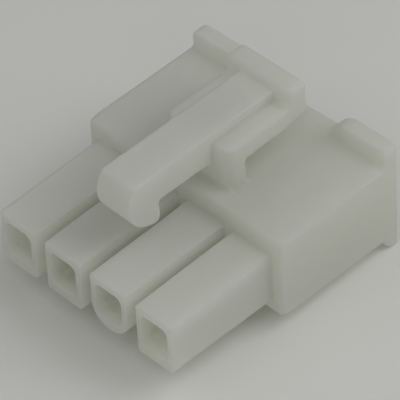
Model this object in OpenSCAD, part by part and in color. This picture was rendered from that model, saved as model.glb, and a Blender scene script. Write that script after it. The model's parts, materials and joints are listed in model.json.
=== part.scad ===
// Single-row wire to board connector housing: one nylon moulding with a row of
// mating silos, a body that holds the crimp terminals, a flared rear flange
// and a latch lever that rocks on a thin web.
//
// Frame: +X runs along the row, +Y from the mating tips to the wire entry,
// +Z up through the latch. The origin is centred under the part, in the plane
// of the lowest face (the underside of the rear lip). Millimetres.

/* [Row] */
// Number of circuits side by side
circuits = 4; // [3:1:10]
// Distance between neighbouring circuits
pitch = 4.2; // [4.2:0.1:5]
// Circuit whose silo has the half-round underside, counted from the +X end
keyed_circuit = 2; // [1:1:3]

/* [Silos] */
// Length of the silos ahead of the body
silo_len = 9.05; // [7:0.05:11]
// Width of a silo at its tip
silo_w = 3.26; // [3.1:0.02:3.5]
// Height of a silo at its tip
silo_h = 4.13; // [4:0.01:4.4]
// Draft of each side of a silo, from tip to root
silo_draft = 0.05; // [0:0.01:0.1]
// Rise of a silo's top, from tip to root
silo_rise = 0.15; // [0:0.01:0.25]
// Radius along a silo's lower edges
silo_under_r = 0.6; // [0.2:0.05:0.8]
// Radius along a silo's upper edges
silo_top_r = 0.15; // [0.05:0.01:0.3]

/* [Body] */
// Length from the root of the silos to the rear face
body_len = 11; // [10.5:0.05:12]
// Side of the body beyond the centre of the last circuit
end_margin = 2.58; // [2.4:0.02:3]
// Height of the body, without ears and lip
body_h = 6.53; // [6.2:0.01:7]
// Underside of the body below the underside of the silos
body_drop = 1.02; // [0.6:0.01:1.2]
// Radius round the front face of the body
body_front_r = 0.45; // [0.2:0.05:0.6]
// Radius along the long edges of the body
body_edge_r = 0.25; // [0.05:0.01:0.4]
// Depth of the shallow dip in the top face behind the web
dip_depth = 0.24; // [0.05:0.01:0.3]

/* [Rear flange] */
// Thickness of the flange, along the row of wires
flange_t = 1.2; // [1:0.05:1.5]
// Height of the two ears above the body
ear_h = 1.36; // [1.1:0.02:1.6]
// Clear distance between the ears, at the top face of the body
ear_gap = 7.3; // [7:0.1:8]
// Lean of the inner end of an ear, in degrees from upright
ear_lean = 34; // [15:1:40]
// Radius over the inner end of an ear
ear_top_r = 0.7; // [0.3:0.05:0.9]
// Radius of an ear's inner end, seen from above
ear_plan_r = 0.6; // [0.2:0.05:0.9]
// Lip below the body
lip_drop = 1.13; // [0.5:0.01:1.4]
// Slope of the lip's front face, along the wires
lip_slope = 0.6; // [0.3:0.05:0.7]
// Radius of the flange's outer corners, seen from the rear
flange_corner_r = 0.55; // [0.2:0.05:0.7]
// Radius of the flange's upright edges
flange_edge_r = 0.36; // [0.1:0.02:0.4]

/* [Latch lever] */
// Width of the arm
arm_w = 3; // [2.4:0.1:3.4]
// Top of the arm above the top face of the body
arm_top = 4.27; // [4:0.01:4.6]
// Thickness of the arm
arm_t = 2.45; // [2.2:0.05:2.6]
// Distance from the mating tips to the nose of the hook
hook_y = 2.88; // [2:0.02:3.5]
// Radius of the rounded nose
hook_r = 2.6; // [2.5:0.05:2.7]
// Length of the hook, from its nose to its catch face
hook_len = 2.72; // [2.4:0.02:3]
// Radius at the tip of the catch
catch_r = 0.45; // [0.3:0.05:0.5]
// Width of the plate, the web and the thumb pad
plate_w = 5.8; // [5:0.02:6.2]
// Thickness of the plate beside the arm
plate_t = 1.57; // [1.3:0.01:1.8]
// Radius of the plate's front corners
plate_corner_r = 0.8; // [0.3:0.05:1]
// Radius along the plate's upper edges
plate_edge_r = 0.35; // [0.1:0.05:0.5]

/* [Web] */
// Front of the web behind the front face of the body
web_setback = 1.4; // [1:0.05:2]
// Thickness of the web that the lever rocks on
web_t = 1.6; // [1.2:0.05:2]
// Radius of the web's front edges
web_r = 0.5; // [0.2:0.05:0.7]

/* [Thumb pad] */
// Front of the pad behind the front face of the body
pad_setback = 7.07; // [6:0.01:7.5]
// Thickness of the pad
pad_t = 1.73; // [1.4:0.01:2]
// Top of the pad above the top of the arm
pad_rise = 0.55; // [0.3:0.05:0.8]
// Radius of the pad's upper edges
pad_r = 0.5; // [0.2:0.05:0.5]
// Rise of the underside towards the pad
pad_under_rise = 0.42; // [0:0.02:0.6]

/* [Terminal cavities] */
// Width of the opening at a silo's tip
mouth_w = 2.36; // [2.1:0.02:2.4]
// Height of the opening at a silo's tip
mouth_h = 2.76; // [2.5:0.02:2.8]
// Length of the wall round the opening at a silo's tip
mouth_len = 0.9; // [0.6:0.05:1.2]
// Width of the bore that holds a terminal's box
bore_w = 2.54; // [2.4:0.02:2.6]
// Height of the bore that holds a terminal's box
bore_h = 3; // [2.8:0.02:3.1]
// Distance from the tip to the shoulders that lock a terminal
shoulder_y = 10.4; // [9.8:0.1:11]
// Length of the latching pocket behind the shoulders
pocket_len = 2.2; // [1.6:0.1:2.6]
// Width of the wire entry at the rear face
entry_w = 3.3; // [3.1:0.02:3.5]
// Height of the wire entry at the rear face
entry_h = 4.3; // [4:0.02:4.4]

/* [Hidden] */
$fn = 64;

eps = 0.01;
total_len = silo_len + body_len;          // tips to rear face
row_half = (circuits - 1) * pitch / 2;    // centre to last circuit
body_x = row_half + end_margin;           // half width of the body
lip_z = 0;                                // underside of the lip
body_z = lip_z + lip_drop;                // underside of the body
silo_z = body_z + body_drop;              // underside of the silos
deck_z = body_z + body_h;                 // top face of the body
ear_z = deck_z + ear_h;
body_y = silo_len;                        // front face of the body
flange_y = total_len - flange_t;
arm_z = deck_z + arm_top;
under_z = arm_z - arm_t;                  // underside of the lever
plate_z = under_z + plate_t;
catch_y = hook_y + hook_len;
web_y = body_y + web_setback;
pad_y = body_y + pad_setback;
pad_back_y = pad_y + pad_t;
pad_z = arm_z + pad_rise;
nose_cz = arm_z - 1.62;                   // centre of the rounded nose
mouth_z = silo_z + 0.8;                   // lower edge of a mouth
bore_z = silo_z + 0.62;
entry_z = silo_z - 0.18;

function circuit_x(i) = row_half - i * pitch;   // i = 0 at the +X end

// An X-Z outline, extruded from y0 to y1
module along_y(y0, y1) translate([0, y1, 0]) rotate([90, 0, 0]) linear_extrude(y1 - y0) children();

// A Y-Z outline, extruded from x0 to x1
module along_x(x0, x1) translate([x0, 0, 0]) rotate([90, 0, 90]) linear_extrude(x1 - x0) children();

// An X-Y outline, extruded from z0 to z1
module along_z(z0, z1) translate([0, 0, z0]) linear_extrude(z1 - z0) children();

// Rectangle with its own radius at each corner, in the order
// low-low, high-low, high-high, low-high
module soft_rect(a0, a1, b0, b1, r) {
  difference() {
    translate([a0, b0]) square([a1 - a0, b1 - b0]);
    if (r[0] > 0) translate([a0 - 1, b0 - 1]) square(r[0] + 1);
    if (r[1] > 0) translate([a1 - r[1], b0 - 1]) square(r[1] + 1);
    if (r[2] > 0) translate([a1 - r[2], b1 - r[2]]) square(r[2] + 1);
    if (r[3] > 0) translate([a0 - 1, b1 - r[3]]) square(r[3] + 1);
  }
  if (r[0] > 0) translate([a0 + r[0], b0 + r[0]]) circle(r[0]);
  if (r[1] > 0) translate([a1 - r[1], b0 + r[1]]) circle(r[1]);
  if (r[2] > 0) translate([a1 - r[2], b1 - r[2]]) circle(r[2]);
  if (r[3] > 0) translate([a0 + r[3], b1 - r[3]]) circle(r[3]);
}

// Outside of one silo, centred on x = 0: full section at its root, cut back by
// the draft towards its tip. The keyed one has a half-round underside.
module silo(keyed) {
  w = silo_w + 2 * silo_draft;
  h = silo_h + silo_rise;
  intersection() {
    along_y(0, body_y + 1)
      if (keyed) soft_rect(-w / 2, w / 2, silo_z, silo_z + h, [w / 2 - eps, w / 2 - eps, silo_top_r, silo_top_r]);
      else soft_rect(-w / 2, w / 2, silo_z, silo_z + h, [silo_under_r, silo_under_r, silo_top_r, silo_top_r]);
    along_x(-w, w)
      polygon([[-1, silo_z - 1], [body_y + 2, silo_z - 1], [body_y + 2, silo_z + h + 1], [body_y, silo_z + h],
               [0, silo_z + silo_h], [-1, silo_z + silo_h]]);
    along_z(silo_z - 1, silo_z + h + 1)
      polygon([[-silo_w / 2, 0], [silo_w / 2, 0], [w / 2, body_y], [w / 2, body_y + 2], [-w / 2, body_y + 2], [-w / 2, body_y]]);
  }
}

// Outside of the body: a block with rounded front edges
module body_block() {
  r = body_front_r;
  e = body_edge_r;
  intersection() {
    along_x(-body_x, body_x) soft_rect(body_y, total_len, body_z, deck_z, [r, 0, 0, r]);
    along_z(body_z - 1, deck_z + 1) soft_rect(-body_x, body_x, body_y, total_len, [r, r, flange_edge_r, flange_edge_r]);
    along_y(body_y - 1, total_len + 1) soft_rect(-body_x, body_x, body_z, deck_z, [e, e, e, e]);
  }
}

// Outline of one ear, in X and Z, on the +X side: a leaning inner end that is
// rounded over at the top, and a rounded outer corner
module ear_outline() {
  xi = ear_gap / 2;
  re = ear_top_r;
  t = (ear_z - deck_z - re * (1 - sin(ear_lean))) / cos(ear_lean);
  cx = xi + t * sin(ear_lean) + re * cos(ear_lean);
  polygon([[xi, deck_z - 1], [xi, deck_z], [xi + t * sin(ear_lean), deck_z + t * cos(ear_lean)], [cx, ear_z - re],
           [cx, ear_z], [body_x - flange_corner_r, ear_z], [body_x - flange_corner_r, ear_z - flange_corner_r],
           [body_x, ear_z - flange_corner_r], [body_x, deck_z - 1]]);
  translate([cx, ear_z - re]) circle(re);
  translate([body_x - flange_corner_r, ear_z - flange_corner_r]) circle(flange_corner_r);
}

// Flared flange round the wire entry: an ear on each side of the lever above,
// a lip along the whole width below
module flange() {
  x1 = body_x;
  xi = ear_gap / 2;
  f = flange_edge_r;
  c = flange_corner_r;
  // ears
  for (s = [0, 1]) mirror([s, 0, 0]) intersection() {
    along_y(flange_y, total_len) ear_outline();
    along_x(0, x1 + 1) soft_rect(flange_y, total_len, deck_z - 2, ear_z, [0, 0, 0.2, 0.25]);
    along_z(deck_z - 2, ear_z + 1) soft_rect(xi, x1, flange_y, total_len, [ear_plan_r, f, f, 0.2]);
  }
  // lip, with a sloped front
  intersection() {
    along_y(flange_y - 1, total_len) soft_rect(-x1, x1, lip_z, body_z + 1, [c, c, 0, 0]);
    along_x(-x1 - 1, x1 + 1) difference() {
      soft_rect(flange_y - 0.25, total_len, lip_z, body_z + 0.5, [0, 0.3, 0, 0]);
      polygon([[flange_y - 1, body_z + 0.05], [flange_y - 0.25, body_z + 0.05], [flange_y - 0.25 + lip_slope * 0.72, lip_z + 0.3],
               [flange_y - 0.08 + lip_slope, lip_z + 0.09], [flange_y + 0.15 + lip_slope, lip_z], [flange_y + 0.15 + lip_slope, lip_z - 1], [flange_y - 1, lip_z - 1]]);
    }
    along_z(lip_z - 1, body_z + 2) soft_rect(-x1, x1, flange_y - 0.25, total_len, [f, f, f, f]);
  }
}

// Outline of the arm and hook, in Y and Z
module arm_outline() {
  cy = hook_y + hook_r;
  // centre of the small radius at the catch's tip, inside the big one
  ky = catch_y - catch_r;
  kz = nose_cz - sqrt(pow(hook_r - catch_r, 2) - pow(cy - ky, 2));
  ty = cy + (ky - cy) * hook_r / (hook_r - catch_r);
  translate([cy - 0.5, under_z]) square([pad_y + 0.5 - cy + 0.5, arm_t]);
  difference() {
    intersection() {
      translate([cy, nose_cz]) circle(hook_r, $fn = 96);
      translate([hook_y - 1, nose_cz - hook_r - 1]) square([catch_y - hook_y + 1, arm_z - nose_cz + hook_r + 1]);
    }
    translate([ty, nose_cz - hook_r - 1]) square([2, kz - nose_cz + hook_r + 1]);
  }
  translate([ky, kz]) circle(catch_r);
}

// The lever: arm and hook in front, a wider plate behind, the web below it and
// the thumb pad at its end
module lever() {
  px = plate_w / 2;
  r = pad_r;
  along_x(-arm_w / 2, arm_w / 2) arm_outline();
  // plate, with its underside rising towards the pad
  intersection() {
    along_x(-px, px) polygon([[web_y, under_z], [pad_y - 0.8, under_z], [pad_back_y, under_z + pad_under_rise],
                              [pad_back_y, plate_z], [web_y, plate_z]]);
    along_z(under_z - 1, plate_z + 1) soft_rect(-px, px, web_y, pad_back_y, [plate_corner_r, plate_corner_r, 0.3, 0.3]);
    along_y(web_y, pad_back_y) soft_rect(-px, px, under_z - 1, plate_z, [0, 0, plate_edge_r, plate_edge_r]);
  }
  // thumb pad, with a concave fillet at its foot
  intersection() {
    union() {
      along_x(-px, px) soft_rect(pad_y, pad_back_y, under_z + pad_under_rise, pad_z, [0, 0, r, r]);
      along_x(-px, px) difference() {
        translate([pad_y - 0.5, plate_z - 0.3]) square([0.7, 0.8]);
        translate([pad_y - 0.5, plate_z + 0.5]) circle(0.5);
      }
    }
    along_y(pad_y - 1, pad_back_y + 1) soft_rect(-px, px, under_z, pad_z, [0, 0, r, r]);
    along_z(under_z - 1, pad_z + 1) soft_rect(-px, px, pad_y - 1, pad_back_y, [0, 0, 0.3, 0.3]);
  }
  // web, with a fillet behind its foot
  intersection() {
    along_x(-px, px) translate([web_y, deck_z - 0.5]) square([web_t, under_z - deck_z + 0.6]);
    along_z(deck_z - 1, under_z + 1) soft_rect(-px, px, web_y, web_y + web_t, [web_r, web_r, 0, 0]);
  }
  along_x(-px, px) difference() {
    translate([web_y + web_t - 0.1, deck_z - dip_depth - 0.3]) square([0.5, 0.7 + dip_depth]);
    translate([web_y + web_t + 0.4, deck_z + 0.4]) circle(0.4);
  }
}

// One terminal cavity, from the mouth at a silo's tip to the wire entry
module cavity(keyed) {
  lower = keyed ? 1.0 : 0.4;
  // mouth
  along_y(-1, mouth_len + 0.1)
    soft_rect(-mouth_w / 2, mouth_w / 2, mouth_z, mouth_z + mouth_h, keyed ? [0.9, 0.9, 0.5, 0.5] : [0.5, 0.5, 0.5, 0.5]);
  // bore for the terminal's box
  along_y(mouth_len, shoulder_y + 0.1)
    soft_rect(-bore_w / 2, bore_w / 2, bore_z, bore_z + bore_h, [lower, lower, 0.3, 0.3]);
  // pocket behind the shoulders, where the tangs spring out
  along_y(shoulder_y, shoulder_y + pocket_len + 0.1)
    soft_rect(-bore_w / 2, bore_w / 2, entry_z + 0.1, entry_z + entry_h - 0.1, [0.3, 0.3, 0.3, 0.3]);
  // chamber for the crimp and the wire
  along_y(shoulder_y + pocket_len, total_len + 1)
    soft_rect(-entry_w / 2, entry_w / 2, entry_z, entry_z + entry_h, [0.6, 0.6, 0.6, 0.6]);
}

module housing() {
  chord = ear_gap / 2 - 0.2;
  dip_r = (pow(chord, 2) + pow(dip_depth, 2)) / (2 * dip_depth);
  color([0.93, 0.93, 0.9])
    translate([0, -total_len / 2, 0])
      difference() {
        union() {
          difference() {
            body_block();
            // shallow dip that gives the lever its travel
            along_y(web_y + 0.3, total_len + 1) translate([0, deck_z - dip_depth + dip_r]) circle(dip_r, $fn = 256);
          }
          flange();
          lever();
          for (i = [0 : circuits - 1]) translate([circuit_x(i), 0, 0]) silo(i + 1 == keyed_circuit);
        }
        for (i = [0 : circuits - 1]) translate([circuit_x(i), 0, 0]) cavity(i + 1 == keyed_circuit);
      }
}

housing();
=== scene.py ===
import json
import math

import bpy
import numpy as np
from mathutils import Matrix, Vector


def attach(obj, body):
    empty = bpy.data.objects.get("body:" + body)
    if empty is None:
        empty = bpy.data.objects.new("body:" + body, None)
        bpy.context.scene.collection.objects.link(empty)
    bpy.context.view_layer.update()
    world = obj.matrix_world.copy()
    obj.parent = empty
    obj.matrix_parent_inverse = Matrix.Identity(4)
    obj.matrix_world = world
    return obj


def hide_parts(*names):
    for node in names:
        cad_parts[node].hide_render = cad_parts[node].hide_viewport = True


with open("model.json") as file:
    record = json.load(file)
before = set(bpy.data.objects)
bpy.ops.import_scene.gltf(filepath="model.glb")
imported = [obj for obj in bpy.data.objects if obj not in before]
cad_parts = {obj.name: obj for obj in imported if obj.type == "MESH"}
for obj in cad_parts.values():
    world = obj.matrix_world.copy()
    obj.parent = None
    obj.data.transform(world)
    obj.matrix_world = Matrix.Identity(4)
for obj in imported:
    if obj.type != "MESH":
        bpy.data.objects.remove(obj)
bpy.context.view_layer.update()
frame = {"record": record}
record = frame["record"]

MM = 0.001

# ---------------------------------------------------------------------------
# Sizes in millimetres, in a frame with y = 0 at the mating tips and z = 0 at
# the underside of the rear lip. The row's own y is this y less half the length.
# ---------------------------------------------------------------------------
CIRCUIT_X = (6.3, 2.1, -2.1, -6.3)
KEYED = 1
SILO_LEN = 9.05
SILO_HW = 1.63
SILO_DRAFT = 0.05
SILO_H = 4.13
SILO_RISE = 0.15
LENGTH = 20.05
BODY_X = 8.88
BODY_Z = 1.13
SILO_Z = 2.15
DECK_Z = 7.66
EAR_Z = 9.03
FLANGE_Y = 18.85
ARM_Z = 11.93
UNDER_Z = 9.48
PLATE_Z = 11.05
PLATE_X = 2.9
ARM_X = 1.5
WEB_Y = 10.45
WEB_BACK = 12.05
PAD_Y = 16.12
PAD_BACK = 17.85
PAD_Z = 12.48
HOOK_Y = 2.88
HOOK_R = 2.6
CATCH_Y = 5.60
NOSE_Z = ARM_Z - 1.62
DIP = 0.24

# look
BASE_LOW = (0.885, 0.89, 0.83)
BASE_HIGH = (0.925, 0.93, 0.875)
THROUGH = (0.96, 0.965, 0.91)
SHARE = 0.5
FLOOR = (0.92, 0.915, 0.86)
TINT = (0.97, 0.98, 1.0)
FILL = 0.1
LIGHT_SIZE = 0.3
LIGHTS = (("side", 135, 45, 0.42), ("front", 45, 45, 0.18), ("left", 315, 45, 0.16), ("top", 0, 90, 0.07))


def cut(r, *v):
    """Rounded intersection of half-spaces or shapes, with radius r."""
    m = v[0]
    for w in v[1:]:
        m = np.maximum(m, w)
    s = np.maximum(v[0] + r, 0) ** 2
    for w in v[1:]:
        s = s + np.maximum(w + r, 0) ** 2
    return np.minimum(m, -r) + np.sqrt(s)


def join(r, a, b):
    """Union of two shapes with a concave fillet of radius r."""
    return np.maximum(np.minimum(a, b), r) - np.sqrt(np.maximum(r - a, 0) ** 2 + np.maximum(r - b, 0) ** 2)


def smooth(a, b, t):
    s = np.clip((t - a) / (b - a), 0, 1)
    return s * s * (3 - 2 * s)


def rrect(u, v, hu, v0, v1, low, high):
    """Rectangle |u| < hu, v0 < v < v1 with its own radius at the low and the high corners."""
    cv, hv = (v0 + v1) / 2, (v1 - v0) / 2
    r = np.where(v > cv, high, low)
    p = np.abs(u) - hu + r
    q = np.abs(v - cv) - hv + r
    return np.minimum(np.maximum(p, q), 0) + np.hypot(np.maximum(p, 0), np.maximum(q, 0)) - r


def silo(x, y, z, cx, keyed):
    t = np.clip(y / SILO_LEN, 0, 1)
    u = x - cx
    hw = SILO_HW + SILO_DRAFT * t
    side = np.abs(u) - hw
    top = z - (SILO_Z + SILO_H + SILO_RISE * t)
    if keyed:
        zc = SILO_Z + hw
        tube = np.where(z < zc, np.hypot(u, z - zc) - hw, side)
    else:
        tube = cut(0.32, side, SILO_Z - z)
    d = cut(0.13, tube, top)
    d = cut(0.12, d, -y)
    return np.maximum(d, y - (SILO_LEN + 0.8))


def cavity(x, y, z, cx, keyed):
    u = x - cx
    m0 = SILO_Z + 0.8
    b0 = SILO_Z + 0.62
    e0 = SILO_Z - 0.18
    mouth = np.maximum(rrect(u, z, 1.18, m0, m0 + 2.76, 0.9 if keyed else 0.5, 0.5), y - 1.0)
    bore = cut(0.08, rrect(u, z, 1.27, b0, b0 + 3.0, 1.0 if keyed else 0.4, 0.3), 0.9 - y, y - 10.5)
    pocket = cut(0.08, rrect(u, z, 1.27, e0 + 0.1, e0 + 4.2, 0.3, 0.3), 10.4 - y, y - 12.7)
    chamber = cut(0.08, rrect(u, z, 1.65, e0, e0 + 4.3, 0.6, 0.6), 12.6 - y)
    return np.minimum(np.minimum(mouth, bore), np.minimum(pocket, chamber))


def solid(x, y, z):
    """Signed distance, near the surface, of the whole moulding."""
    ax = np.abs(x)
    # deck, with the shallow dip under the lever
    chord = 3.45
    dip_r = (chord * chord + DIP * DIP) / (2 * DIP)
    dip = cut(0.1, np.hypot(x, z - (DECK_Z - DIP + dip_r)) - dip_r, (WEB_Y + 0.3) - y)
    top = cut(0.25, z - DECK_Z, -dip)
    # core, open at the sides and the rear
    core = cut(0.4, SILO_LEN - y, cut(0.2, top, BODY_Z - z))
    # ears: a leaning inner end, rounded over, and filleted into the deck
    wide = ax - (BODY_X + 0.08)
    lean = math.radians(34)
    inner = -((ax - 3.65) * math.cos(lean) - (z - DECK_Z) * math.sin(lean))
    ear = cut(0.56, cut(0.7, inner, z - EAR_Z), wide)
    ear = cut(0.18 + 0.42 * (1 - smooth(4.2, 5.1, ax)), ear, FLANGE_Y - y)
    ear = np.maximum(ear, (DECK_Z - 0.8) - z)
    core = join(0.28, core, ear)
    # lip: a sloped front, rounded below
    ln = math.atan2(0.62, 1.0)
    slope = -((y - (FLANGE_Y - 0.27)) * math.cos(ln) - (BODY_Z - z) * math.sin(ln))
    lip = cut(0.36, slope, cut(0.5, -z, wide))
    lip = np.maximum(lip, z - (BODY_Z + 0.6))
    core = join(0.22, core, lip)
    # sides and rear
    body = cut(0.13 + 0.2 * (1 - smooth(9.3, 10.0, y)), core, ax - BODY_X)
    body = cut(0.14 + 0.1 * smooth(BODY_X - 0.7, BODY_X - 0.25, ax), body, y - LENGTH)
    # silos
    for i, cx in enumerate(CIRCUIT_X):
        body = join(0.16, body, silo(x, y, z, cx, i == KEYED))
    # plate, thumb pad and web share one plan outline
    cy = (WEB_Y + PAD_BACK) / 2
    rp = np.where(y > cy, 0.3, 0.8)
    p = ax - PLATE_X + rp
    q = np.abs(y - cy) - (PAD_BACK - WEB_Y) / 2 + rp
    plan = np.minimum(np.maximum(p, q), 0) + np.hypot(np.maximum(p, 0), np.maximum(q, 0)) - rp
    profile = join(0.5, z - PLATE_Z, cut(0.5, PAD_Y - y, z - PAD_Z))
    plate = cut(0.3 + 0.2 * smooth(PLATE_Z, PLATE_Z + 0.8, z), profile, plan)
    # the arm over the plate
    arm = cut(0.13, ax - ARM_X, z - ARM_Z)
    arm = np.maximum(np.maximum(arm, (WEB_Y - 1.0) - y), y - (PAD_BACK - 0.6))
    arm = np.maximum(arm, np.minimum(UNDER_Z - z, (WEB_Y + 0.3) - y))
    lever = join(0.18, plate, arm)
    # underside of the plate, open where the web goes down
    t = np.clip((y - 15.0) / 2.85, 0, 1)
    under = UNDER_Z + 0.06 + 0.46 * t * t * (1.5 - 0.5 * t)
    under = np.where(y > 13.5, under, UNDER_Z + 0.06 * smooth(12.5, 13.5, y))
    below = join(0.3, under - z, y - WEB_BACK)
    lever = cut(0.12, lever, below)
    lever = np.maximum(lever, (DECK_Z - 0.6) - z)
    # arm and hook
    c = HOOK_Y + HOOK_R
    nose = np.hypot(y - c, z - NOSE_Z) - HOOK_R
    nose = cut(0.45, nose, y - CATCH_Y)
    bar = np.maximum(UNDER_Z - z, c - 0.3 - y)
    hook = join(0.2, nose, bar)
    hook = cut(0.25, hook, z - ARM_Z)
    hook = cut(0.13, hook, ax - ARM_X)
    hook = np.maximum(hook, y - (WEB_Y + 1.0))
    lever = np.minimum(lever, hook)
    d = join(0.35, body, lever)
    # terminal cavities
    for i, cx in enumerate(CIRCUIT_X):
        d = cut(0.1, d, -cavity(x, y, z, cx, i == KEYED))
    return d


def steps(lo, hi, fine, coarse, zones):
    """Grid planes from lo to hi: fine inside the zones, growing to coarse between them."""
    out = [lo]
    while out[-1] < hi:
        a = out[-1]
        gap = min([0.0 if z0 <= a <= z1 else min(abs(a - z0), abs(a - z1)) for z0, z1 in zones])
        out.append(a + min(coarse, fine + 0.35 * gap))
    return np.array(out, np.float32)


def surface_net(gx, gy, gz, field):
    inside = field < 0
    nx, ny, nz = field.shape
    corner = [inside[i:nx - 1 + i, j:ny - 1 + j, k:nz - 1 + k] for i in (0, 1) for j in (0, 1) for k in (0, 1)]
    count = np.zeros((nx - 1, ny - 1, nz - 1), np.int8)
    for c in corner:
        count += c
    act = np.argwhere((count > 0) & (count < 8))
    index = np.full((nx - 1, ny - 1, nz - 1), -1, np.int32)
    index[act[:, 0], act[:, 1], act[:, 2]] = np.arange(len(act))
    acc = np.zeros((len(act), 3))
    num = np.zeros(len(act))
    grids = (gx, gy, gz)
    for axis in range(3):
        others = [a for a in range(3) if a != axis]
        for s in (0, 1):
            for t in (0, 1):
                a = act.copy()
                a[:, others[0]] += s
                a[:, others[1]] += t
                b = a.copy()
                b[:, axis] += 1
                fa = field[a[:, 0], a[:, 1], a[:, 2]]
                fb = field[b[:, 0], b[:, 1], b[:, 2]]
                hit = (fa < 0) != (fb < 0)
                w = np.where(hit, fa / np.where(hit, fa - fb, 1), 0)
                pos = np.stack([grids[d][a[:, d]] for d in range(3)], 1).astype(float)
                pos[:, axis] += w * (grids[axis][b[:, axis]] - grids[axis][a[:, axis]])
                acc += pos * hit[:, None]
                num += hit
    verts = acc / num[:, None]
    quads = []
    for axis in range(3):
        lo = [slice(None)] * 3
        hi = [slice(None)] * 3
        lo[axis] = slice(0, -1)
        hi[axis] = slice(1, None)
        a_in = inside[tuple(lo)]
        b_in = inside[tuple(hi)]
        e = np.argwhere(a_in != b_in)
        u, v = [(1, 2), (2, 0), (0, 1)][axis]
        e = e[(e[:, u] > 0) & (e[:, v] > 0) & (e[:, u] < field.shape[u] - 1) & (e[:, v] < field.shape[v] - 1)]
        ring = []
        for du, dv in ((-1, -1), (0, -1), (0, 0), (-1, 0)):
            c = e.copy()
            c[:, u] += du
            c[:, v] += dv
            ring.append(index[c[:, 0], c[:, 1], c[:, 2]])
        q = np.stack(ring, 1)
        flip = ~a_in[e[:, 0], e[:, 1], e[:, 2]]
        q[flip] = q[flip][:, ::-1]
        quads.append(q)
    return verts, np.concatenate(quads)


def gradient(p, h=0.004):
    g = np.empty_like(p)
    for a in range(3):
        d = np.zeros(3)
        d[a] = h
        g[:, a] = (solid(*(p + d).T) - solid(*(p - d).T)) / (2 * h)
    return g


def settle(p, rounds, cap):
    start = p.copy()
    for _ in range(rounds):
        g = gradient(p)
        f = solid(*p.T)
        n2 = np.maximum((g * g).sum(1), 0.2)
        p = p - g * (f / n2)[:, None]
        off = p - start
        far = np.linalg.norm(off, axis=1)
        p = start + off * np.minimum(1, cap / np.maximum(far, 1e-9))[:, None]
    return p


def make_housing():
    fine = 0.068
    gx = steps(-9.05, 9.05, fine, 0.3, [(c + s * a, c + s * b) if s > 0 else (c + s * b, c + s * a)
                                        for c in CIRCUIT_X for s in (-1, 1) for a, b in ((0.75, 1.3), (1.5, 1.85))]
               + [(-9.0, -8.2), (8.2, 9.0), (-3.1, -2.1), (2.1, 3.1), (-1.65, -1.3), (1.3, 1.65)])
    gy = steps(-0.15, 20.2, fine, 0.3, [(-0.1, 0.25), (0.85, 1.05), (2.8, 6.0), (8.8, 9.6), (10.3, 12.8), (15.4, 20.1)])
    gz = steps(-0.12, 12.62, fine, 0.25, [(-0.1, 0.7), (1.0, 1.6), (1.95, 3.4), (5.2, 7.9), (8.2, 9.9), (10.7, 12.5)])
    field = solid(gx[:, None, None], gy[None, :, None], gz[None, None, :]).astype(np.float32)
    verts, quads = surface_net(gx, gy, gz, field)
    verts = settle(verts, 2, 0.06)
    mesh = bpy.data.meshes.new("housing_skin")
    mesh.from_pydata(verts.tolist(), [], quads.tolist())
    mesh.update()
    obj = bpy.data.objects.new("housing_skin", mesh)
    bpy.context.scene.collection.objects.link(obj)
    return obj


skin = make_housing()

# fewer faces on the flats, then back onto the true surface
target = 190000
dec = skin.modifiers.new("decimate", "DECIMATE")
dec.ratio = min(1.0, target / (2.0 * len(skin.data.polygons)))
deps = bpy.context.evaluated_depsgraph_get()
low = bpy.data.meshes.new_from_object(skin.evaluated_get(deps))
skin.modifiers.clear()
old = skin.data
skin.data = low
bpy.data.meshes.remove(old)
low.name = "housing_skin"

co = np.empty(len(low.vertices) * 3)
low.vertices.foreach_get("co", co)
p = settle(co.reshape(-1, 3), 3, 0.05)
g = gradient(p)
g /= np.maximum(np.linalg.norm(g, axis=1), 1e-6)[:, None]
q = (p - np.array([0, LENGTH / 2, 0])) * MM
low.vertices.foreach_set("co", q.ravel())
low.polygons.foreach_set("use_smooth", np.ones(len(low.polygons), bool))
low.update()
low.normals_split_custom_set_from_vertices([tuple(n) for n in g])

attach(skin, "root")
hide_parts("housing")

# ---------------------------------------------------------------------------
# Material: unfilled natural nylon, milky all through, lightly matt
# ---------------------------------------------------------------------------
mat = bpy.data.materials.new("nylon")
mat.use_nodes = True
nt = mat.node_tree
bsdf = nt.nodes["Principled BSDF"]
out = nt.nodes["Material Output"]


def node(kind, **inputs):
    n = nt.nodes.new(kind)
    for name, value in inputs.items():
        n.inputs[name.replace("_", " ")].default_value = value
    return n


def ramp(source, low, high, a=0.3, b=0.7):
    n = nt.nodes.new("ShaderNodeValToRGB")
    n.color_ramp.elements[0].position = a
    n.color_ramp.elements[0].color = (*low, 1)
    n.color_ramp.elements[1].position = b
    n.color_ramp.elements[1].color = (*high, 1)
    nt.links.new(source, n.inputs["Fac"])
    return n.outputs["Color"]


coord = nt.nodes.new("ShaderNodeTexCoord").outputs["Object"]
cloud = node("ShaderNodeTexNoise", Scale=210.0, Detail=4.0, Roughness=0.55)
grain = node("ShaderNodeTexNoise", Scale=2300.0, Detail=3.0, Roughness=0.6)
dust = node("ShaderNodeTexNoise", Scale=900.0, Detail=2.0, Roughness=0.5)
for n in (cloud, grain, dust):
    nt.links.new(coord, n.inputs["Vector"])

nt.links.new(ramp(cloud.outputs["Fac"], BASE_LOW, BASE_HIGH), bsdf.inputs["Base Color"])

rough = node("ShaderNodeMapRange", To_Min=0.5, To_Max=0.62)
nt.links.new(dust.outputs["Fac"], rough.inputs["Value"])
nt.links.new(rough.outputs["Result"], bsdf.inputs["Roughness"])

bump = node("ShaderNodeBump", Strength=0.25, Distance=0.00002)
nt.links.new(grain.outputs["Fac"], bump.inputs["Height"])
nt.links.new(bump.outputs["Normal"], bsdf.inputs["Normal"])

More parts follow.
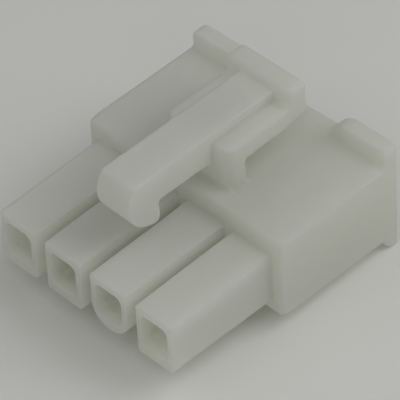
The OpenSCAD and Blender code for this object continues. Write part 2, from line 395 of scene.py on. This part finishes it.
bsdf.inputs["Specular IOR Level"].default_value = 0.2
bsdf.inputs["Subsurface Weight"].default_value = 1.0
bsdf.inputs["Subsurface Radius"].default_value = (1.0, 0.95, 0.8)
bsdf.inputs["Subsurface Scale"].default_value = 0.0008

through = nt.nodes.new("ShaderNodeBsdfTranslucent")
through.inputs["Color"].default_value = (*THROUGH, 1)
milk = nt.nodes.new("ShaderNodeMixShader")
milk.inputs[0].default_value = SHARE
nt.links.new(bsdf.outputs[0], milk.inputs[1])
nt.links.new(through.outputs[0], milk.inputs[2])
nt.links.new(milk.outputs[0], out.inputs["Surface"])

skin.data.materials.clear()
skin.data.materials.append(mat)

# ---------------------------------------------------------------------------
# Stage, light and camera
# ---------------------------------------------------------------------------
floor_mesh = bpy.data.meshes.new("floor")
s = 1.5
floor_mesh.from_pydata([(-s, -s, 0), (s, -s, 0), (s, s, 0), (-s, s, 0)], [], [(0, 1, 2, 3)])
floor = bpy.data.objects.new("floor", floor_mesh)
bpy.context.scene.collection.objects.link(floor)
fmat = bpy.data.materials.new("floor")
fmat.use_nodes = True
fmat.node_tree.nodes["Principled BSDF"].inputs["Base Color"].default_value = (*FLOOR, 1)
fmat.node_tree.nodes["Principled BSDF"].inputs["Roughness"].default_value = 0.9
floor_mesh.materials.append(fmat)

world = bpy.data.worlds.new("world")
bpy.context.scene.world = world
world.use_nodes = True
world.node_tree.nodes["Background"].inputs[0].default_value = (*TINT, 1)
world.node_tree.nodes["Background"].inputs[1].default_value = FILL

for name, az, el, watts in LIGHTS:
    lamp = bpy.data.lights.new(name, "AREA")
    lamp.size = LIGHT_SIZE
    lamp.energy = watts
    lamp.color = TINT
    obj = bpy.data.objects.new(name, lamp)
    bpy.context.scene.collection.objects.link(obj)
    a, e = math.radians(az), math.radians(el)
    obj.location = Vector((math.sin(a) * math.cos(e), -math.cos(a) * math.cos(e), math.sin(e))) * 0.35
    obj.rotation_euler = (Vector((0, 0, 0.005)) - obj.location).to_track_quat("-Z", "Y").to_euler()

cam_data = bpy.data.cameras.new("camera")
cam_data.sensor_width = 36
cam_data.lens = 4421.719 / 400 * 36
cam_data.clip_start = 0.01
cam_data.clip_end = 10
cam = bpy.data.objects.new("camera", cam_data)
bpy.context.scene.collection.objects.link(cam)


def camera_matrix():
    az, el, roll = (math.radians(v) for v in (47.223, 44.2, 3.19))
    back = np.array([math.sin(az) * math.cos(el), -math.cos(az) * math.cos(el), math.sin(el)])
    right = np.array([math.cos(az), math.sin(az), 0.0])
    up = np.cross(back, right)
    rows = np.stack([right, up, back])
    turn = np.array([[math.cos(roll), -math.sin(roll), 0], [math.sin(roll), math.cos(roll), 0], [0, 0, 1]])
    rows = turn @ rows
    centre = np.array([0.0, 9.0, 4.0]) - rows.T @ np.array([-1.109, 0.039, -288.445])
    centre = centre + np.array([0, -LENGTH / 2, SILO_Z])
    m = Matrix.Identity(4)
    for i in range(3):
        for j in range(3):
            m[i][j] = rows[j][i]
        m[i][3] = centre[i] * MM
    return m


cam.matrix_world = camera_matrix()
bpy.context.scene.camera = cam
bpy.context.scene.view_settings.view_transform = "Standard"
